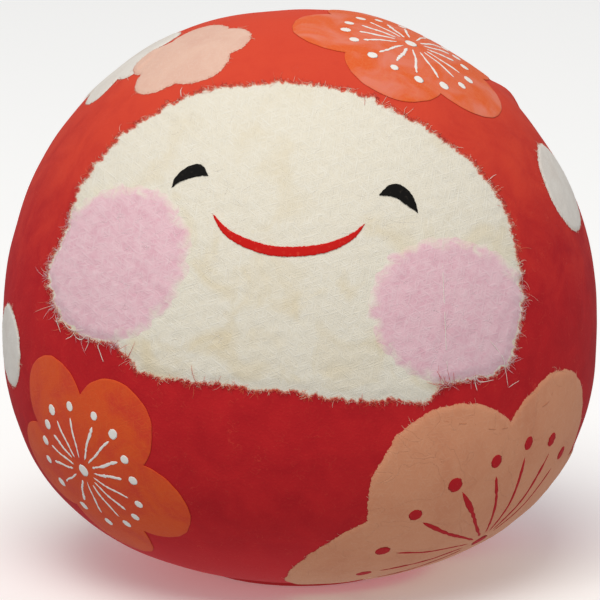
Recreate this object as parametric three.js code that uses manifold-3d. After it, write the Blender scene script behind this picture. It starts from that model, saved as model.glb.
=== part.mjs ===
// A round, smiling daruma doll: a hollow papier-mache body with a clay weight in its foot,
// covered in red dyed kozo paper and dressed with torn and cut paper pieces.
//
// Units are millimetres and +Z is up. The doll faces -Y, its own left cheek is at +X, and the
// origin is the centre of the flat base. "left" and "right" in names are as the viewer sees them.
//
// Every paper layer is the same body of revolution, grown or shrunk by its distance from the
// outside of the red paper. A piece of paper is a layer cut out by a straight cutter.

import * as THREE from "three";
import { mergeVertices } from "three/addons/utils/BufferGeometryUtils.js";
import Module from "manifold-3d";

const wasm = await Module();
wasm.setup();

// ---------------------------------------------------------------- driving dimensions

const BODY_WIDTH = 130;
const BODY_HEIGHT = 122.5;
const BELLY_HEIGHT = 53; // where the body is widest
const BASE_RADIUS = 22; // the flat that the doll stands on
const CROWN_POWER = 2.08; // superellipse power above the belly, 2 is an ellipse
const FOOT_POWER = 2.4; // and below it, where the body is squarer

const PAPER = 0.4; // a pasted sheet
const FACE_PAPER = 0.5; // the thick, fluffy face sheet
const PASTE = 0.1; // gap between two pasted sheets
const WALL = 2; // papier-mache wall
const GLUE_LINE = 0.3; // gap at an edge joint

const JOINT_STRIP_WIDTH = 12;
const SIDE_SHEET_START = 62; // azimuth where a side sheet of red paper meets the front one
const SIDE_SHEET_END = 118; // and where it meets the back one

const BALLAST_TOP = 17; // height of the clay weight's crown
const BALLAST_CROWN_RADIUS = 70; // radius of its domed top

const TURN_STEPS = 36; // facets round the body
const CROWN_STEPS = 8; // facets from the belly to the top
const FOOT_STEPS = 6; // facets from the belly to the base
const PETAL_STEPS = 7; // facets round one petal

const BELLY_RADIUS = BODY_WIDTH / 2;
const BASE_SHEET = PAPER * 2; // the card disc under the foot
const FOOT_Z = BASE_SHEET + PASTE; // the red paper's own flat
const CENTRE = new THREE.Vector3(0, 0, BELLY_HEIGHT);
const FAR = BODY_WIDTH; // longer than any cutter needs to be

// Layers: [inner, outer] distance from the outside of the red paper.
const RED_LAYER = [-PAPER, 0];
const WALL_LAYER = [RED_LAYER[0] - PASTE - WALL, RED_LAYER[0] - PASTE];
const STRIP_LAYER = [WALL_LAYER[1] - PAPER, WALL_LAYER[1]];
const REBATE_LAYER = [STRIP_LAYER[0] - PASTE, RED_LAYER[0]];
const FIRST_LAYER = [PASTE, PASTE + PAPER];
const FACE_LAYER = [PASTE, PASTE + FACE_PAPER];
const SECOND_LAYER = [FACE_LAYER[1] + PASTE, FACE_LAYER[1] + PASTE + PAPER];

// ---------------------------------------------------------------- materials

const paper = (color, roughness = 0.85) =>
  new THREE.MeshStandardMaterial({ color, roughness, metalness: 0 });

const MATERIAL = {
  pulp: paper(0xb9a888, 0.95),
  clay: paper(0x8d6f55, 0.9),
  kraft: paper(0xa98a5f),
  red: paper(0xc3271f),
  card: paper(0x8f1f1c),
  cream: paper(0xefe6d2, 0.95),
  pink: paper(0xe9b6c6, 0.95),
  orange: paper(0xdf5a2b),
  peach: paper(0xe3a583),
  white: paper(0xe9e2dc),
  black: paper(0x191614, 0.7),
  lip: paper(0xc81e1a, 0.75),
};

// ---------------------------------------------------------------- solids and cutting

// A manifold-3d solid from a closed three.js geometry.
function solidFrom(geometry) {
  const bare = geometry.clone();
  bare.deleteAttribute("normal");
  bare.deleteAttribute("uv");
  const merged = mergeVertices(bare, 1e-4);
  const corners = merged.index.array;
  const kept = [];
  for (let i = 0; i < corners.length; i += 3) {
    const [a, b, c] = [corners[i], corners[i + 1], corners[i + 2]];
    if (a !== b && b !== c && c !== a) kept.push(a, b, c);
  }
  return new wasm.Manifold(
    new wasm.Mesh({
      numProp: 3,
      vertProperties: merged.attributes.position.array,
      triVerts: new Uint32Array(kept),
    }),
  );
}

function geometryFrom(solid) {
  const mesh = solid.getMesh();
  return new THREE.BufferGeometry()
    .setAttribute("position", new THREE.BufferAttribute(mesh.vertProperties, 3))
    .setIndex(new THREE.BufferAttribute(mesh.triVerts, 1));
}

// ---------------------------------------------------------------- the body's shape

// Half of a superellipse: reach out along r and rise along z share one power.
class BodyQuarter {
  constructor(rise, power) {
    this.rise = rise;
    this.power = power;
  }

  // The point at angle t from the belly, moved outwards by grow along the surface's normal.
  point(t, grow) {
    const r = BELLY_RADIUS * Math.cos(t) ** (2 / this.power);
    const z = Math.abs(this.rise) * Math.sin(t) ** (2 / this.power);
    const normal = this.normal(r, z);
    return new THREE.Vector2(
      r + grow * normal.x,
      BELLY_HEIGHT + Math.sign(this.rise) * z + grow * normal.y,
    );
  }

  normal(r, z) {
    const alongR = r ** (this.power - 1) / BELLY_RADIUS ** this.power;
    const alongZ = z ** (this.power - 1) / Math.abs(this.rise) ** this.power;
    return new THREE.Vector2(alongR, Math.sign(this.rise) * alongZ).normalize();
  }
}

const FOOT_DROP = BELLY_HEIGHT - FOOT_Z;
const FOOT_SHARE = (BASE_RADIUS / BELLY_RADIUS) ** FOOT_POWER;
const FOOT_RISE = FOOT_DROP / (1 - FOOT_SHARE) ** (1 / FOOT_POWER);
const crown = new BodyQuarter(BODY_HEIGHT - BELLY_HEIGHT, CROWN_POWER);
const foot = new BodyQuarter(-FOOT_RISE, FOOT_POWER);
const BASE_ANGLE = Math.acos(Math.sqrt(FOOT_SHARE)); // where the foot's curve meets the flat

// The corner between the flat base and the foot, moved out square to both.
function baseCorner(grow) {
  const wall = foot.normal(BASE_RADIUS, FOOT_DROP);
  const outwards = (1 + wall.y) / wall.x;
  return new THREE.Vector2(BASE_RADIUS + grow * outwards, FOOT_Z - grow);
}

// The body's outline from the middle of the base, round the belly, to the top.
function bodyOutline(grow) {
  const points = [new THREE.Vector2(0, FOOT_Z - grow), baseCorner(grow)];
  for (let i = FOOT_STEPS - 1; i > 0; i--)
    points.push(foot.point((BASE_ANGLE * i) / FOOT_STEPS, grow));
  for (let i = 0; i < CROWN_STEPS; i++)
    points.push(crown.point((Math.PI / 2) * (i / CROWN_STEPS), grow));
  points.push(new THREE.Vector2(0, BODY_HEIGHT + grow));
  return points;
}

// The whole body, grown by a distance. Azimuth 0 is the face side, and it turns towards +X.
function bodySolid(grow) {
  const lathe = new THREE.LatheGeometry(bodyOutline(grow), TURN_STEPS);
  return solidFrom(lathe.rotateX(Math.PI / 2));
}

function layerSolid([inner, outer]) {
  return bodySolid(outer).subtract(bodySolid(inner));
}

const redLayer = layerSolid(RED_LAYER);
const wallLayer = layerSolid(WALL_LAYER);
const stripLayer = layerSolid(STRIP_LAYER);
const rebateLayer = layerSolid(REBATE_LAYER);
const firstLayer = layerSolid(FIRST_LAYER);
const faceLayer = layerSolid(FACE_LAYER);
const secondLayer = layerSolid(SECOND_LAYER);

// ---------------------------------------------------------------- cutters

const radians = THREE.MathUtils.degToRad;

// A straight cutter: an outline pushed outwards from the body's centre in one direction.
// x is across, y is up, and roll turns the outline anticlockwise as seen from outside.
function facingCutter(shape, { azimuth, elevation, roll = 0 }) {
  const [a, e] = [radians(azimuth), radians(elevation)];
  const outwards = new THREE.Vector3(
    Math.cos(e) * Math.sin(a),
    -Math.cos(e) * Math.cos(a),
    Math.sin(e),
  );
  const across = new THREE.Vector3(Math.cos(a), Math.sin(a), 0);
  const up = new THREE.Vector3().crossVectors(outwards, across);
  const placed = new THREE.Matrix4()
    .makeBasis(across, up, outwards)
    .setPosition(CENTRE);
  const prism = new THREE.ExtrudeGeometry(shape, { depth: FAR, bevelEnabled: false });
  return solidFrom(prism.rotateZ(radians(roll)).applyMatrix4(placed));
}

// An upright wedge about the body's axis, between two azimuths less than 180 degrees apart.
function wedgeCutter(from, to) {
  const spoke = (azimuth) =>
    new THREE.Vector2(Math.sin(radians(azimuth)), -Math.cos(radians(azimuth)));
  const half = radians(to - from) / 2;
  const tip = spoke((from + to) / 2).multiplyScalar(GLUE_LINE / 2 / Math.sin(half));
  const reach = FAR / Math.cos(half);
  const corners = [from, to].map((azimuth) => spoke(azimuth).multiplyScalar(reach).add(tip));
  const shape = new THREE.Shape([tip, ...corners]);
  return solidFrom(new THREE.ExtrudeGeometry(shape, { depth: FAR * 2, bevelEnabled: false }));
}

function boxCutter(width, depth, height, x, y, z) {
  return solidFrom(new THREE.BoxGeometry(width, depth, height).translate(x, y, z));
}

// ---------------------------------------------------------------- outlines

// Five round petals on a ring: each is an arc from one notch to the next.
function plumShape(petalReach, petalRadius) {
  const halfPitch = Math.PI / 5;
  const side = petalReach * Math.sin(halfPitch);
  const notch = petalReach * Math.cos(halfPitch) + Math.sqrt(petalRadius ** 2 - side ** 2);
  const sweep = Math.atan2(
    notch * Math.sin(halfPitch),
    notch * Math.cos(halfPitch) - petalReach,
  );
  const points = [];
  for (let petal = 0; petal < 5; petal++) {
    const facing = petal * 2 * halfPitch;
    for (let step = 0; step < PETAL_STEPS; step++) {
      const angle = facing - sweep + (2 * sweep * step) / PETAL_STEPS;
      points.push(
        new THREE.Vector2(
          petalReach * Math.cos(facing) + petalRadius * Math.cos(angle),
          petalReach * Math.sin(facing) + petalRadius * Math.sin(angle),
        ),
      );
    }
  }
  return new THREE.Shape(points);
}

function ovalShape(x, y, halfWidth, halfHeight) {
  const curve = new THREE.EllipseCurve(x, y, halfWidth, halfHeight);
  return new THREE.Shape(curve.getPoints(24).slice(0, -1));
}

function smoothShape(corners, steps) {
  const loop = new THREE.CatmullRomCurve3(
    corners.map(([x, y]) => new THREE.Vector3(x, y, 0)),
    true,
  );
  const points = loop.getPoints(steps).slice(0, -1);
  return new THREE.Shape(points.map((p) => new THREE.Vector2(p.x, p.y)));
}

// A crescent between two arcs through the same tips: the outer one bulges further.
function crescentShape([x, y], halfWidth, outerBulge, innerBulge, tilt) {
  const turn = radians(tilt);
  const steps = 10;
  const arc = (bulge, from, to) =>
    Array.from({ length: steps }, (_, i) => {
      const across = from + ((to - from) * i) / steps;
      const rise = bulge * (1 - across ** 2);
      const u = across * halfWidth;
      return new THREE.Vector2(
        x + u * Math.cos(turn) - rise * Math.sin(turn),
        y + u * Math.sin(turn) + rise * Math.cos(turn),
      );
    });
  return new THREE.Shape([...arc(outerBulge, 1, -1), ...arc(innerBulge, -1, 1)]);
}

// ---------------------------------------------------------------- the face

const FACE_FACING = { azimuth: 0, elevation: 12 };

// Round the torn edge of the face, anticlockwise from the top, in mm from the body's centre.
const FACE_EDGE = [
  [0, 50.6], [-21, 48.8], [-38.6, 38.7], [-47, 25], [-53.2, 10.5], [-49.5, -0.6],
  [-37, -7], [-17, -11.8], [0, -14.5], [22, -16], [34.2, -11.7], [44, -6.8],
  [46.8, 7.3], [43.3, 23.5], [33.7, 35.7], [18, 45.2],
];
const CHEEK_LEFT = ovalShape(-35.8, 13.2, 15.2, 15.6);
const CHEEK_RIGHT = ovalShape(29.8, 3.8, 15.6, 14.2);
const EYE_LEFT = crescentShape([-22.4, 29.5], 4.2, 3.4, 0.7, 20);
const EYE_RIGHT = crescentShape([20, 25.2], 4.5, 3.5, 0.6, -28);
const MOUTH = crescentShape([-2.5, 21.1], 15.6, -7.4, -5.4, -4.5);

// ---------------------------------------------------------------- the flowers

const LARGE_PLUM = plumShape(20.7, 18.5);
const MEDIUM_PLUM = plumShape(14.4, 10.6);
const SMALL_PLUM = plumShape(7.2, 6.9);
const NARROW_PLUM = plumShape(8.1, 5.5);
const LARGE_PETAL = ovalShape(0, 0, 10.2, 10.2);
const SMALL_PETAL = ovalShape(0, 0, 8.9, 8.9);

// [name, layer, shape, where it faces, material]
const FLOWERS = [
  ["plum_orange_left", firstLayer, MEDIUM_PLUM,
    { azimuth: -46.6, elevation: -19.7, roll: 47 }, MATERIAL.orange],
  ["plum_orange_top", firstLayer, MEDIUM_PLUM,
    { azimuth: 62.3, elevation: 68, roll: -17 }, MATERIAL.orange],
  ["plum_peach_right", firstLayer, LARGE_PLUM,
    { azimuth: 46.3, elevation: -36.7, roll: 62 }, MATERIAL.peach],
  ["plum_white_top", firstLayer, NARROW_PLUM,
    { azimuth: -89.8, elevation: 57.1, roll: 20 }, MATERIAL.white],
  ["plum_peach_top", secondLayer, SMALL_PLUM,
    { azimuth: -54.4, elevation: 64.9, roll: -17 }, MATERIAL.peach],
  ["petal_white_right", firstLayer, LARGE_PETAL,
    { azimuth: 76.2, elevation: 30 }, MATERIAL.white],
  ["petal_white_left", firstLayer, SMALL_PETAL,
    { azimuth: -74.1, elevation: -0.6 }, MATERIAL.white],
  ["plum_orange_back", firstLayer, MEDIUM_PLUM,
    { azimuth: 163, elevation: 8, roll: 30 }, MATERIAL.orange],
  ["plum_white_back", firstLayer, NARROW_PLUM,
    { azimuth: -158, elevation: 40, roll: 10 }, MATERIAL.white],
  ["plum_peach_back", firstLayer, MEDIUM_PLUM,
    { azimuth: -140, elevation: -22, roll: 16 }, MATERIAL.peach],
];

// ---------------------------------------------------------------- sub-parts

const doll = new THREE.Group();
doll.name = "daruma";

function addPart(name, solid, material) {
  const mesh = new THREE.Mesh(geometryFrom(solid), material);
  mesh.name = name;
  doll.add(mesh);
}

// Two moulded half shells, glued on the upright plane between front and back. A shallow
// rebate along the joint takes the paper strip that is pasted over it.
function addCore() {
  const rebateWidth = JOINT_STRIP_WIDTH + GLUE_LINE;
  const rebate = rebateLayer.intersect(boxCutter(FAR * 2, rebateWidth, FAR * 4, 0, 0, 0));
  const shell = wallLayer.subtract(rebate);
  const offset = (FAR + GLUE_LINE) / 2;
  const half = (y) => shell.intersect(boxCutter(FAR * 2, FAR, FAR * 4, 0, y, 0));
  addPart("core_front_half", half(-offset), MATERIAL.pulp);
  addPart("core_back_half", half(offset), MATERIAL.pulp);
}

function addJointStrip() {
  const band = stripLayer.intersect(boxCutter(FAR * 2, JOINT_STRIP_WIDTH, FAR * 4, 0, 0, 0));
  addPart("core_joint_strip", band, MATERIAL.kraft);
}

// The weight fills the bottom of the shell, up to a low dome.
function addBallast() {
  const bowl = bodySolid(WALL_LAYER[0] - GLUE_LINE);
  const dome = new THREE.SphereGeometry(BALLAST_CROWN_RADIUS, 32, 24).rotateX(Math.PI / 2);
  const lifted = dome.translate(0, 0, BALLAST_TOP - BALLAST_CROWN_RADIUS);
  addPart("ballast_weight", bowl.intersect(solidFrom(lifted)), MATERIAL.clay);
}

// Four sheets of red paper meet edge to edge on the sides of the body.
function addRedSheets() {
  const backSpan = 360 - SIDE_SHEET_END;
  const sheets = {
    red_sheet_front: [-SIDE_SHEET_START, SIDE_SHEET_START],
    red_sheet_right: [SIDE_SHEET_START, SIDE_SHEET_END],
    red_sheet_back: [SIDE_SHEET_END, backSpan],
    red_sheet_left: [-SIDE_SHEET_END, -SIDE_SHEET_START],
  };
  for (const [name, [from, to]] of Object.entries(sheets))
    addPart(name, redLayer.intersect(wedgeCutter(from, to)), MATERIAL.red);
}

function addBaseDisc() {
  const disc = new THREE.CylinderGeometry(BASE_RADIUS, BASE_RADIUS, BASE_SHEET, TURN_STEPS);
  const lying = disc.rotateX(Math.PI / 2).translate(0, 0, BASE_SHEET / 2);
  addPart("base_disc", solidFrom(lying), MATERIAL.card);
}

function addFace() {
  const place = (name, layer, shape, material) =>
    addPart(name, layer.intersect(facingCutter(shape, FACE_FACING)), material);
  place("face_sheet", faceLayer, smoothShape(FACE_EDGE, 64), MATERIAL.cream);
  place("cheek_left", secondLayer, CHEEK_LEFT, MATERIAL.pink);
  place("cheek_right", secondLayer, CHEEK_RIGHT, MATERIAL.pink);
  place("eye_left", secondLayer, EYE_LEFT, MATERIAL.black);
  place("eye_right", secondLayer, EYE_RIGHT, MATERIAL.black);
  place("mouth", secondLayer, MOUTH, MATERIAL.lip);
}

// Petals that reach the foot are trimmed at the edge of the base.
function addFlowers() {
  const aboveFoot = boxCutter(FAR * 2, FAR * 2, FAR * 2, 0, 0, FAR + FOOT_Z + GLUE_LINE);
  for (const [name, layer, shape, facing, material] of FLOWERS) {
    const cut = layer.intersect(facingCutter(shape, facing));
    addPart(name, cut.intersect(aboveFoot), material);
  }
}

addCore();
addJointStrip();
addBallast();
addRedSheets();
addBaseDisc();
addFace();
addFlowers();

export default doll;
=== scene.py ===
# %% [markdown]
# # A daruma doll dressed in kozo paper
# The doll is a hollow papier-mache body, weighted in the foot, that a maker has covered in red
# kozo paper. Its face, cheeks, eyes, smile and plum blossoms are more paper, torn or cut, and
# pasted on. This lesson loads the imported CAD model, and then lays each sheet of paper on the body
# as a surface worked out with numpy. All shapes are worked out in millimetres, in the CAD model's
# own frame, and are turned into metres when a mesh is made.

import bmesh
import bpy
import numpy as np
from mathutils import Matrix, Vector


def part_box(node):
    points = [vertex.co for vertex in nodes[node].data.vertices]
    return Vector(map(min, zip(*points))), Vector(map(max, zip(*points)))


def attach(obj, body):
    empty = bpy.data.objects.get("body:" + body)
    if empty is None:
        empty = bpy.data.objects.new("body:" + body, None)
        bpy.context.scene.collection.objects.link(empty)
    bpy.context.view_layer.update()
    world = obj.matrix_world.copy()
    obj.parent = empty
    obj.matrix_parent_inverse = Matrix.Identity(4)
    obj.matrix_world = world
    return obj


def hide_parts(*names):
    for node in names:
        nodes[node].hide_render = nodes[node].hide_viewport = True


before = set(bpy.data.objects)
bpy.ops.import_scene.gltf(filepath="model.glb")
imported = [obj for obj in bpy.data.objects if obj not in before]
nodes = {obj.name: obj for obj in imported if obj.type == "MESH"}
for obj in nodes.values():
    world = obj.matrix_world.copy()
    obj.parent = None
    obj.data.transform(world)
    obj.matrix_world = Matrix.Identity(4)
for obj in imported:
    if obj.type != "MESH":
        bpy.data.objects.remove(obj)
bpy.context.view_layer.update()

MM = 0.001

# %% [markdown]
# ## The body's shape
# Seen from the side, the body is two halves of a superellipse that meet at the belly. The crown
# is nearly an ellipse and the foot is squarer. The sizes come from the red sheets in the frame.
# Every sheet of paper is laid on this shape, so the shape is written once, as a formula that says
# how far out a point is.

# %% The superellipse body
BELLY_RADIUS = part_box("red_sheet_right")[1].x / MM
CROWN_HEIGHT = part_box("red_sheet_front")[1].z / MM
FOOT_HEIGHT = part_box("red_sheet_front")[0].z / MM
BASE_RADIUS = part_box("base_disc")[1].x / MM
BELLY_HEIGHT = 53.0
CROWN_POWER, FOOT_POWER = 2.08, 2.40

CENTRE = np.array([0.0, 0.0, BELLY_HEIGHT])
CROWN_RISE = CROWN_HEIGHT - BELLY_HEIGHT
FOOT_SHARE = (BASE_RADIUS / BELLY_RADIUS) ** FOOT_POWER
FOOT_RISE = (BELLY_HEIGHT - FOOT_HEIGHT) / (1 - FOOT_SHARE) ** (1 / FOOT_POWER)


def crown_or_foot(rise):
    """The power and the reach of the half that each height above or below the belly is in."""
    high = rise >= 0
    return np.where(high, CROWN_POWER, FOOT_POWER), np.where(high, CROWN_RISE, FOOT_RISE)


def fullness(points):
    """(radius / belly radius)^n + (height from the belly / reach)^n, which is 1 on the body and
    less inside it."""
    rise = points[..., 2] - BELLY_HEIGHT
    power, reach = crown_or_foot(rise)
    radius = np.hypot(points[..., 0], points[..., 1])
    return (radius / BELLY_RADIUS) ** power + (np.abs(rise) / reach) ** power


def body_normal(points):
    """The outward direction: the way in which fullness grows fastest, by its two slopes."""
    rise = points[..., 2] - BELLY_HEIGHT
    power, reach = crown_or_foot(rise)
    radius = np.maximum(np.hypot(points[..., 0], points[..., 1]), 1e-9)
    across = radius ** (power - 1) / BELLY_RADIUS**power / radius
    along = np.sign(rise) * np.abs(rise) ** (power - 1) / reach**power
    slope = np.stack([across * points[..., 0], across * points[..., 1], along], -1)
    return slope / np.linalg.norm(slope, axis=-1, keepdims=True)


def facing(azimuth, elevation):
    """Outwards, across and up at a place. Azimuth 0 is the face side and turns towards +X."""
    turn, lift = np.radians([azimuth, elevation])
    level = np.cos(lift)
    outwards = np.array([level * np.sin(turn), -level * np.cos(turn), np.sin(lift)])
    across = np.array([np.cos(turn), np.sin(turn), 0.0])
    return outwards, across, np.cross(outwards, across)


print("belly radius", round(BELLY_RADIUS, 1), "mm, height", round(CROWN_HEIGHT, 1), "mm")

# %% [markdown]
# Nothing moulded by hand from pulp is a perfect form. A few long sine waves, in random directions
# from a fixed seed, add up to gentle dents, and thumbs have pressed some flatter places, mostly on
# the sides. The same dents lift every sheet, so that the layers stay together.

# %% Gentle dents


def waves(points, wavelength, seed, count=9):
    """The sum of sine waves over the root of their count, so mostly -1 to 1. Each has a direction,
    a phase, and a length of 0.7 to 1.4 wavelengths, at random."""
    draw = np.random.default_rng(seed)
    size = points.shape[-1]
    direction = draw.normal(size=(count, size))
    direction /= np.linalg.norm(direction, axis=1, keepdims=True)
    length = wavelength * draw.uniform(0.7, 1.4, count)
    phase = draw.uniform(0, 2 * np.pi, count)
    angle = points @ (direction / length[:, None]).T * 2 * np.pi + phase
    return np.sin(angle).sum(-1) / np.sqrt(count)


PRESSED = [  # azimuth, elevation, depth in mm (it stands out if below 0), width in degrees
    (99, 38, 1.0, 8), (110, 58, 1.5, 11), (-157, 77, 1.1, 9), (103, 47, -1.4, 4),
    (-97, 31, -0.4, 8), (-107, 52, 0.4, 6), (-92, 8, 0.2, 8), (-87, -19, 0.7, 6),
    (92, 18, -0.2, 9), (160, 20, 0.5, 12), (-140, 5, 0.4, 10),
]
MOULD_WAVE, PASTE_WAVE = (45, 0.1), (9, 0.04)  # length and height in mm
SHRINKAGE = 0.18  # mm, as the paste dries


def dents(points):
    """Two waves, less the shrinkage, and less depth * e^-(angle away / width)^2 for each pressed
    place."""
    way = (points - CENTRE) / np.linalg.norm(points - CENTRE, axis=-1, keepdims=True)
    lift = np.full(points.shape[:-1], -SHRINKAGE)
    for seed, (length, height) in ((11, MOULD_WAVE), (12, PASTE_WAVE)):
        lift = lift + height * waves(points, length, seed)
    for azimuth, elevation, depth, width in PRESSED:
        away = np.degrees(np.arccos(np.clip(way @ facing(azimuth, elevation)[0], -1, 1)))
        lift = lift - depth * np.exp(-((away / width) ** 2))
    return lift


print(len(PRESSED), "pressed places, the deepest", max(spot[2] for spot in PRESSED), "mm")

# %% [markdown]
# ## Laying paper on the body
# A sheet starts flat, on a plane through the body's centre, and its points are told in millimetres
# across and up. To lay it, each point is pushed straight out of the plane until it meets the body,
# and then lifted by the sheet's height along the surface's normal. Straight pushing keeps a cut
# outline the same when it is seen square on, which is how a maker places it.

# %% From a flat sheet to the body
FACE = (0, 12)  # the azimuth and elevation that the face looks in
HALVINGS = 36  # two belly radii, halved so often, are far less than a micrometre


def to_body(start, way):
    """Halves a distance again and again, until each point that moves its way is on the body."""
    near = np.zeros(start.shape[:-1])
    far = np.full(start.shape[:-1], 2 * BELLY_RADIUS)
    for _ in range(HALVINGS):
        middle = (near + far) / 2
        place = start + middle[..., None] * way
        inside = (fullness(place) < 1) & (place[..., 2] > FOOT_HEIGHT)
        near = np.where(inside, middle, near)
        far = np.where(inside, far, middle)
    return start + near[..., None] * way


def push_out(flat, direction):
    """The sheet's points, moved straight out of its plane to the body."""
    outwards, across, up = facing(*direction)
    return to_body(CENTRE + flat[..., :1] * across + flat[..., 1:2] * up, outwards)


def lay(flat, direction, height):
    """Points of a sheet on the dented body: place + (dents + height) * normal."""
    surface = push_out(flat, direction)
    lift = dents(surface) + height
    return surface + lift[..., None] * body_normal(surface)


print("the middle of the face is at", lay(np.zeros((1, 2)), FACE, 0.0)[0].round(2))

# %% [markdown]
# ## From a grid of points to a mesh
# Every piece here is a grid of points whose columns close on themselves, like a tube. A row whose
# points all fall together is a pole, and merging closes it. One function takes one grid, or a
# stack of them for pieces such as fibres, and writes the whole mesh from arrays. A second one
# finishes it, and prints how many faces it has.

# %% Mesh from grids


def grid_object(name, points, maps=None):
    """points: (grids, rows, columns, 3) in mm. maps: name to (grids, rows, columns + 1, 2)."""
    if points.ndim == 3:
        points = points[None]
    grids, rows, columns, _ = points.shape
    number = np.arange(grids * rows * columns).reshape(grids, rows, columns)
    right = np.roll(number, -1, axis=2)
    corners = [number[:, :-1], right[:, :-1], right[:, 1:], number[:, 1:]]
    faces = np.stack(corners, -1).reshape(-1, 4)
    mesh = bpy.data.meshes.new(name)
    mesh.vertices.add(grids * rows * columns)
    mesh.vertices.foreach_set("co", (points * MM).astype(np.float32).ravel())
    mesh.loops.add(faces.size)
    mesh.loops.foreach_set("vertex_index", faces.astype(np.int32).ravel())
    mesh.polygons.add(len(faces))
    mesh.polygons.foreach_set("loop_start", np.arange(0, faces.size, 4, dtype=np.int32))
    mesh.update(calc_edges=True)
    for map_name, values in (maps or {}).items():
        values = values.reshape(grids, rows, columns + 1, 2)
        a, b = values[:, :-1], values[:, 1:]
        loops = np.stack([a[:, :, :-1], a[:, :, 1:], b[:, :, 1:], b[:, :, :-1]], 3)
        layer = mesh.uv_layers.new(name=map_name)
        layer.uv.foreach_set("vector", loops.astype(np.float32).ravel())
    return finished(name, mesh)


MERGED, TOO_SHORT = 1e-6, 1e-7  # metres


def finished(name, mesh):
    """Merges the poles, turns the faces outwards, smooths them and puts the piece on the body."""
    work = bmesh.new()
    work.from_mesh(mesh)
    bmesh.ops.remove_doubles(work, verts=work.verts, dist=MERGED)
    bmesh.ops.dissolve_degenerate(work, edges=work.edges, dist=TOO_SHORT)
    bmesh.ops.recalc_face_normals(work, faces=work.faces)
    work.to_mesh(mesh)
    work.free()
    mesh.shade_smooth()
    piece = bpy.data.objects.new(name, mesh)
    bpy.context.scene.collection.objects.link(piece)
    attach(piece, "root")
    print(name, len(mesh.polygons), "faces")
    return piece


# %% [markdown]
# ## Outlines
# An outline is a closed line of evenly spaced points. The face's is a smooth curve through a few
# points, and a blossom's is the farthest of five circles.

# %% Smooth outlines


def evenly(line, count, closed=True):
    """The same line with its points spread evenly along it."""
    if closed:
        line = np.vstack([line, line[:1]])
    steps = np.linalg.norm(np.diff(line, axis=0), axis=1)
    travelled = np.concatenate([[0], np.cumsum(steps)])
    wanted = np.linspace(0, travelled[-1], count, endpoint=not closed)
    return np.stack([np.interp(wanted, travelled, line[:, i]) for i in (0, 1)], -1)


def smooth_line(corners, count, closed=True):
    """A Catmull-Rom curve: between two corners, a cubic whose slopes come from their neighbours."""
    corners = np.array(corners, float)
    if not closed:
        first, last = 2 * corners[0] - corners[1], 2 * corners[-1] - corners[-2]
        corners = np.vstack([first, corners, last])
    total = len(corners)
    start, stop = (0, total) if closed else (1, total - 2)
    place = np.linspace(start, stop, 24 * total, endpoint=not closed)
    index = np.minimum(place.astype(int), stop - 1)
    t = (place - index)[:, None]
    p, q, r, s = (corners[(index + shift) % total] for shift in (-1, 0, 1, 2))
    bend = (2 * p - 5 * q + 4 * r - s) * t**2 + (3 * q - p - 3 * r + s) * t**3
    return evenly(0.5 * (2 * q + (r - p) * t + bend), count, closed)


def plum_outline(petals, count):
    """In each direction, how far the farthest petal's circle reaches. A petal is the angle and the
    distance of its circle's middle, and its radius."""
    angle = np.linspace(0, 2 * np.pi, 8 * count, endpoint=False)
    edge = np.zeros_like(angle)
    for turn, reach, radius in petals:
        away = angle - np.radians(turn)
        square = radius**2 - (reach * np.sin(away)) ** 2
        far = reach * np.cos(away) + np.sqrt(np.maximum(square, 0))
        edge = np.maximum(edge, np.where(square > 0, far, 0))
    return evenly(edge[:, None] * np.stack([np.cos(angle), np.sin(angle)], -1), count)


def even_petals(roll, reach, radius):
    """Five petals, a fifth of a turn apart."""
    return [(roll + 72 * k, reach, radius) for k in range(5)]


print("a plum outline has", len(plum_outline(even_petals(0, 8, 6), 640)), "points")

# %% [markdown]
# Paper that is torn, or cut by hand, has an uneven edge. Its outline is pushed in and out by waves
# that fit its length a whole number of times, so the last point meets the first. The waves swell
# and fade along the line, because a tear does.

# %% Torn outlines


def outward(line):
    """The direction square to a closed, anticlockwise line, pointing out of it."""
    along = np.roll(line, -1, axis=0) - np.roll(line, 1, axis=0)
    along /= np.linalg.norm(along, axis=1, keepdims=True)
    return np.stack([along[:, 1], -along[:, 0]], -1)


def length_of(line):
    """The sum of the steps round a closed line."""
    return np.linalg.norm(np.roll(line, -1, axis=0) - line, axis=1).sum()


def ragged(line, roughness, seed):
    """A sum of sine waves round the line. roughness pairs each wavelength with a height, in mm."""
    draw = np.random.default_rng(seed)
    turn = np.linspace(0, 2 * np.pi, len(line), endpoint=False)
    rise = np.zeros(len(line))
    for wavelength, height in roughness:
        for stretch in (0.8, 1.0, 1.27):
            repeats = max(1, round(length_of(line) / wavelength / stretch))
            swell = 0.6 + 0.4 * np.sin(draw.integers(2, 9) * turn + draw.uniform(0, 6))
            rise += 0.58 * height * swell * np.sin(repeats * turn + draw.uniform(0, 6))
    return rise


def torn(line, roughness, seed, middle):
    """Waves along the spokes from the middle, so that no two spokes of the outline ever cross."""
    spoke = line - middle
    return line + ragged(line, roughness, seed)[:, None] * spoke / np.hypot(*spoke.T)[:, None]


def depth_in(line, flat):
    """How far each point of a grid is from the nearest point of a line, one row at a time."""
    rows = [np.linalg.norm(row[:, None] - line[None], axis=-1).min(1) for row in flat]
    return np.array(rows)


circle = plum_outline([(0, 0, 8)], 640)
rough_circle = torn(circle, [(3, 0.2)], 1, (0, 0))
print("a torn circle is", round(length_of(rough_circle) - length_of(circle), 1), "mm longer round")

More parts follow.
